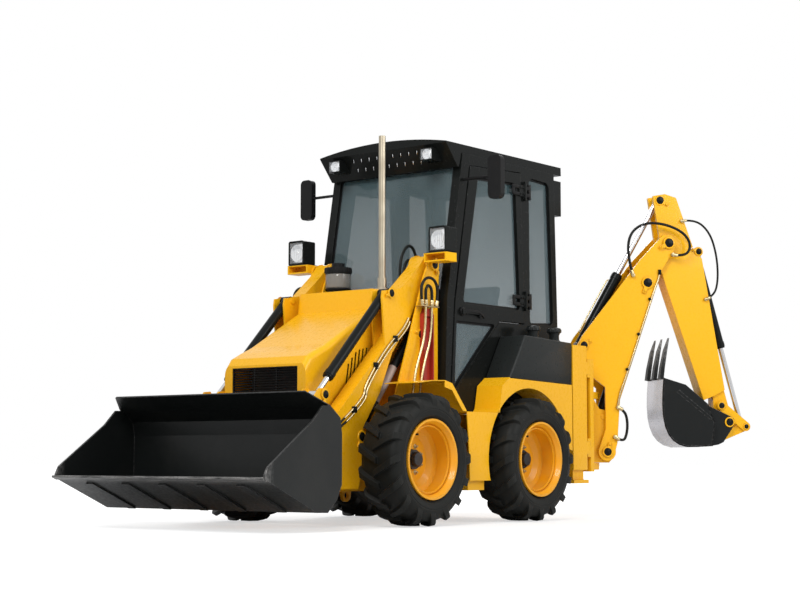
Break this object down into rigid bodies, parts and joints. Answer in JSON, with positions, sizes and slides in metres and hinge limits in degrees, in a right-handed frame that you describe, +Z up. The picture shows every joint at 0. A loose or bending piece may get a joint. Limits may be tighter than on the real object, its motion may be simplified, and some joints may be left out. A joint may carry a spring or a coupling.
{
  "type": "compact backhoe loader",
  "caption": "Compact wheeled loader with a front bucket on lift arms, a glazed cab, stabilisers and a side-shifting rear digging arm with its bucket",
  "frame": {"origin": "on the ground under the middle of the part's box as it parks, with the rear arm shifted and turned left", "axes": "+Z up, the front of the machine looks along -Y, the machine's left side is at +X"},
  "size_m": [2.0677, 4.2287, 2.2891],
  "materials": {
    "yellow_paint": "glossy yellow enamel",
    "black_paint": "satin black",
    "grey_paint": "satin dark grey",
    "red_paint": "satin red",
    "rubber": "matt black rubber",
    "iron": "rough dark casting",
    "bright_rod": "polished rod",
    "steel": "heat-tinted steel tube",
    "plastic": "moulded black",
    "pane": "lightly tinted",
    "lens": "clear lens",
    "hose_rubber": "black hose cover",
    "seat_cover": "woven cover"
  },
  "bodies": {
    "chassis": {"axles": "iron", "chassis_frame": "yellow_paint", "engine_hood": "yellow_paint", "front_grille": "plastic", "engine_block": "iron", "exhaust_stack": "steel", "air_cleaner": "plastic", "cab_frame": "black_paint", "cab_roof": "black_paint", "cab_glass": "pane", "seat": "seat_cover", "controls": "plastic", "fenders": "yellow_paint", "side_panels": "grey_paint", "lamps": "plastic", "lamp_lenses": "lens", "mirrors": "plastic", "lock_strut": "red_paint", "rear_frame": "yellow_paint", "loader_towers": "yellow_paint", "side_boxes": "yellow_paint", "tower_hoses": "hose_rubber"},
    "wheel_fl": {"tyre_fl": "rubber", "rim_fl": "yellow_paint"},
    "wheel_fr": {"tyre_fr": "rubber", "rim_fr": "yellow_paint"},
    "wheel_rl": {"tyre_rl": "rubber", "rim_rl": "yellow_paint"},
    "wheel_rr": {"tyre_rr": "rubber", "rim_rr": "yellow_paint"},
    "door": {"door_frame": "black_paint", "door_glass": "pane"},
    "loader_arm": {"loader_arms": "yellow_paint"},
    "loader_bucket": {"bucket_carrier": "yellow_paint", "loader_bucket": "black_paint"},
    "lift_barrel": {"lift_barrels": "black_paint"},
    "lift_rod": {"lift_rods": "bright_rod"},
    "tilt_barrel": {"tilt_barrels": "black_paint"},
    "tilt_rod": {"tilt_rods": "bright_rod"},
    "carriage": {"side_shift_carriage": "yellow_paint"},
    "kingpost": {"kingpost": "yellow_paint"},
    "boom": {"boom": "yellow_paint", "boom_hoses": "hose_rubber"},
    "dipper": {"dipper": "yellow_paint", "dipper_hoses": "hose_rubber"},
    "hoe_bucket": {"hoe_bucket": "black_paint"},
    "boom_ram_barrel": {"boom_barrel": "black_paint"},
    "boom_ram_rod": {"boom_rod": "bright_rod"},
    "dipper_ram_barrel": {"dipper_barrel": "black_paint"},
    "dipper_ram_rod": {"dipper_rod": "bright_rod"},
    "bucket_lever": {"bucket_lever": "yellow_paint"},
    "bucket_link": {"bucket_link": "yellow_paint"},
    "hoe_bucket_barrel": {"hoe_bucket_barrel": "black_paint"},
    "hoe_bucket_rod": {"hoe_bucket_rod": "bright_rod"},
    "stabiliser_left": {"stabiliser_left": "yellow_paint"},
    "stabiliser_right": {"stabiliser_right": "yellow_paint"}
  },
  "joints": [
    {"name": "wheel_fl_spin", "type": "hinge", "parent": "chassis", "child": "wheel_fl", "pos_m": [0.398, -0.754, 0.36758], "axis": [1, 0, 0], "continuous": true},
    {"name": "wheel_fr_spin", "type": "hinge", "parent": "chassis", "child": "wheel_fr", "pos_m": [-0.898, -0.754, 0.36758], "axis": [1, 0, 0], "continuous": true},
    {"name": "wheel_rl_spin", "type": "hinge", "parent": "chassis", "child": "wheel_rl", "pos_m": [0.398, 0.306, 0.36758], "axis": [1, 0, 0], "continuous": true},
    {"name": "wheel_rr_spin", "type": "hinge", "parent": "chassis", "child": "wheel_rr", "pos_m": [-0.898, 0.306, 0.36758], "axis": [1, 0, 0], "continuous": true},
    {"name": "door_swing", "type": "hinge", "parent": "chassis", "child": "door", "pos_m": [0.265, 0.531, 1.4], "axis": [0, 0, 1], "range_deg": [0, 80]},
    {"name": "arm_lift", "type": "hinge", "parent": "chassis", "child": "loader_arm", "pos_m": [-0.25, -0.334, 1.5], "axis": [-1, 0, 0], "range_deg": [-4, 92]},
    {"name": "bucket_tilt", "type": "hinge", "parent": "loader_arm", "child": "loader_bucket", "pos_m": [-0.25, -1.394, 0.27], "axis": [1, 0, 0], "range_deg": [-8, 80]},
    {"name": "lift_barrel_pivot", "type": "hinge", "parent": "chassis", "child": "lift_barrel", "pos_m": [-0.25, -0.454, 1.085], "axis": [1, 0, 0], "range_deg": [-101.68, 4.9]},
    {"name": "lift_rod_slide", "type": "slide", "parent": "lift_barrel", "child": "lift_rod", "axis": [0, -0.637, -0.7709], "range_m": [-0.02806, 0.60144]},
    {"name": "tilt_barrel_pivot", "type": "hinge", "parent": "loader_arm", "child": "tilt_barrel", "pos_m": [-0.25, -0.692, 1.308], "axis": [1, 0, 0], "range_deg": [-8.68, 1.32]},
    {"name": "tilt_rod_slide", "type": "slide", "parent": "tilt_barrel", "child": "tilt_rod", "axis": [0, -0.7035, -0.7107], "range_m": [-0.05903, 0.57232]},
    {"name": "side_shift", "type": "slide", "parent": "chassis", "child": "carriage", "axis": [1, 0, 0], "range_m": [-1.04, 0]},
    {"name": "slew", "type": "hinge", "parent": "carriage", "child": "kingpost", "pos_m": [0.27, 1.216, 0.55], "axis": [0, 0, -1], "range_deg": [-130, 50]},
    {"name": "boom_lower", "type": "hinge", "parent": "kingpost", "child": "boom", "pos_m": [0.33492, 1.29337, 0.415], "axis": [-0.766, 0.6428, 0], "range_deg": [0, 115]},
    {"name": "dipper_reach", "type": "hinge", "parent": "boom", "child": "dipper", "pos_m": [0.61453, 1.6266, 1.778], "axis": [0.766, -0.6428, 0], "range_deg": [0, 105]},
    {"name": "boom_ram_barrel_pivot", "type": "hinge", "parent": "kingpost", "child": "boom_ram_barrel", "pos_m": [0.32464, 1.28111, 0.64], "axis": [0.766, -0.6428, 0], "range_deg": [-118.22, 0.5]},
    {"name": "boom_ram_rod_slide", "type": "slide", "parent": "boom_ram_barrel", "child": "boom_ram_rod", "axis": [0.2101, 0.2504, 0.9451], "range_m": [-0.002, 0.3789]},
    {"name": "dipper_ram_barrel_pivot", "type": "hinge", "parent": "boom", "child": "dipper_ram_barrel", "pos_m": [0.23786, 1.1777, 1.1], "axis": [0.766, -0.6428, 0], "range_deg": [-0.56, 0.5]},
    {"name": "dipper_ram_rod_slide", "type": "slide", "parent": "dipper_ram_barrel", "child": "dipper_ram_rod", "axis": [0.3161, 0.3767, 0.8707], "range_m": [-0.46201, 0.002]},
    {"name": "hoe_bucket_open", "type": "hinge", "parent": "dipper", "child": "hoe_bucket", "pos_m": [0.87294, 1.93455, 0.609], "axis": [0.766, -0.6428, 0], "range_deg": [0, 173.8]},
    {"name": "lever_turn", "type": "hinge", "parent": "dipper", "child": "bucket_lever", "pos_m": [0.84337, 1.89931, 0.717], "axis": [0.766, -0.6428, 0], "range_deg": [-0.5, 104.5]},
    {"name": "link_turn", "type": "hinge", "parent": "bucket_lever", "child": "bucket_link", "pos_m": [0.95264, 2.02954, 0.581], "axis": [0.766, -0.6428, 0], "range_deg": [-26.36, 0.5]},
    {"name": "hoe_bucket_barrel_pivot", "type": "hinge", "parent": "dipper", "child": "hoe_bucket_barrel", "pos_m": [0.75659, 1.7959, 1.731], "axis": [0.766, -0.6428, 0], "range_deg": [-0.5, 1.11]},
    {"name": "hoe_bucket_rod_slide", "type": "slide", "parent": "hoe_bucket_barrel", "child": "hoe_bucket_rod", "axis": [0.1648, 0.1964, -0.9666], "range_m": [-0.34494, 0.002]},
    {"name": "stabiliser_left_drop", "type": "slide", "parent": "chassis", "child": "stabiliser_left", "axis": [0, 0, -1], "range_m": [0, 0.45]},
    {"name": "stabiliser_right_drop", "type": "slide", "parent": "chassis", "child": "stabiliser_right", "axis": [0, 0, -1], "range_m": [0, 0.45]}
  ],
  "couplings": [
    {"joint": "lift_barrel_pivot", "follows": "arm_lift", "ratio": -1.0997},
    {"joint": "lift_rod_slide", "follows": "arm_lift", "m_per_rad": 0.37332},
    {"joint": "tilt_barrel_pivot", "follows": "bucket_tilt", "ratio": -0.1023},
    {"joint": "tilt_rod_slide", "follows": "bucket_tilt", "m_per_rad": 0.40846},
    {"joint": "boom_ram_barrel_pivot", "follows": "boom_lower", "ratio": -1.0237},
    {"joint": "boom_ram_rod_slide", "follows": "boom_lower", "m_per_rad": 0.18778},
    {"joint": "dipper_ram_barrel_pivot", "follows": "dipper_reach", "ratio": -0.000584},
    {"joint": "dipper_ram_rod_slide", "follows": "dipper_reach", "m_per_rad": -0.25101},
    {"joint": "lever_turn", "follows": "hoe_bucket_open", "ratio": 0.59839},
    {"joint": "link_turn", "follows": "hoe_bucket_open", "ratio": -0.14881},
    {"joint": "hoe_bucket_barrel_pivot", "follows": "hoe_bucket_open", "ratio": 0.003528},
    {"joint": "hoe_bucket_rod_slide", "follows": "hoe_bucket_open", "m_per_rad": -0.11306}
  ]
}
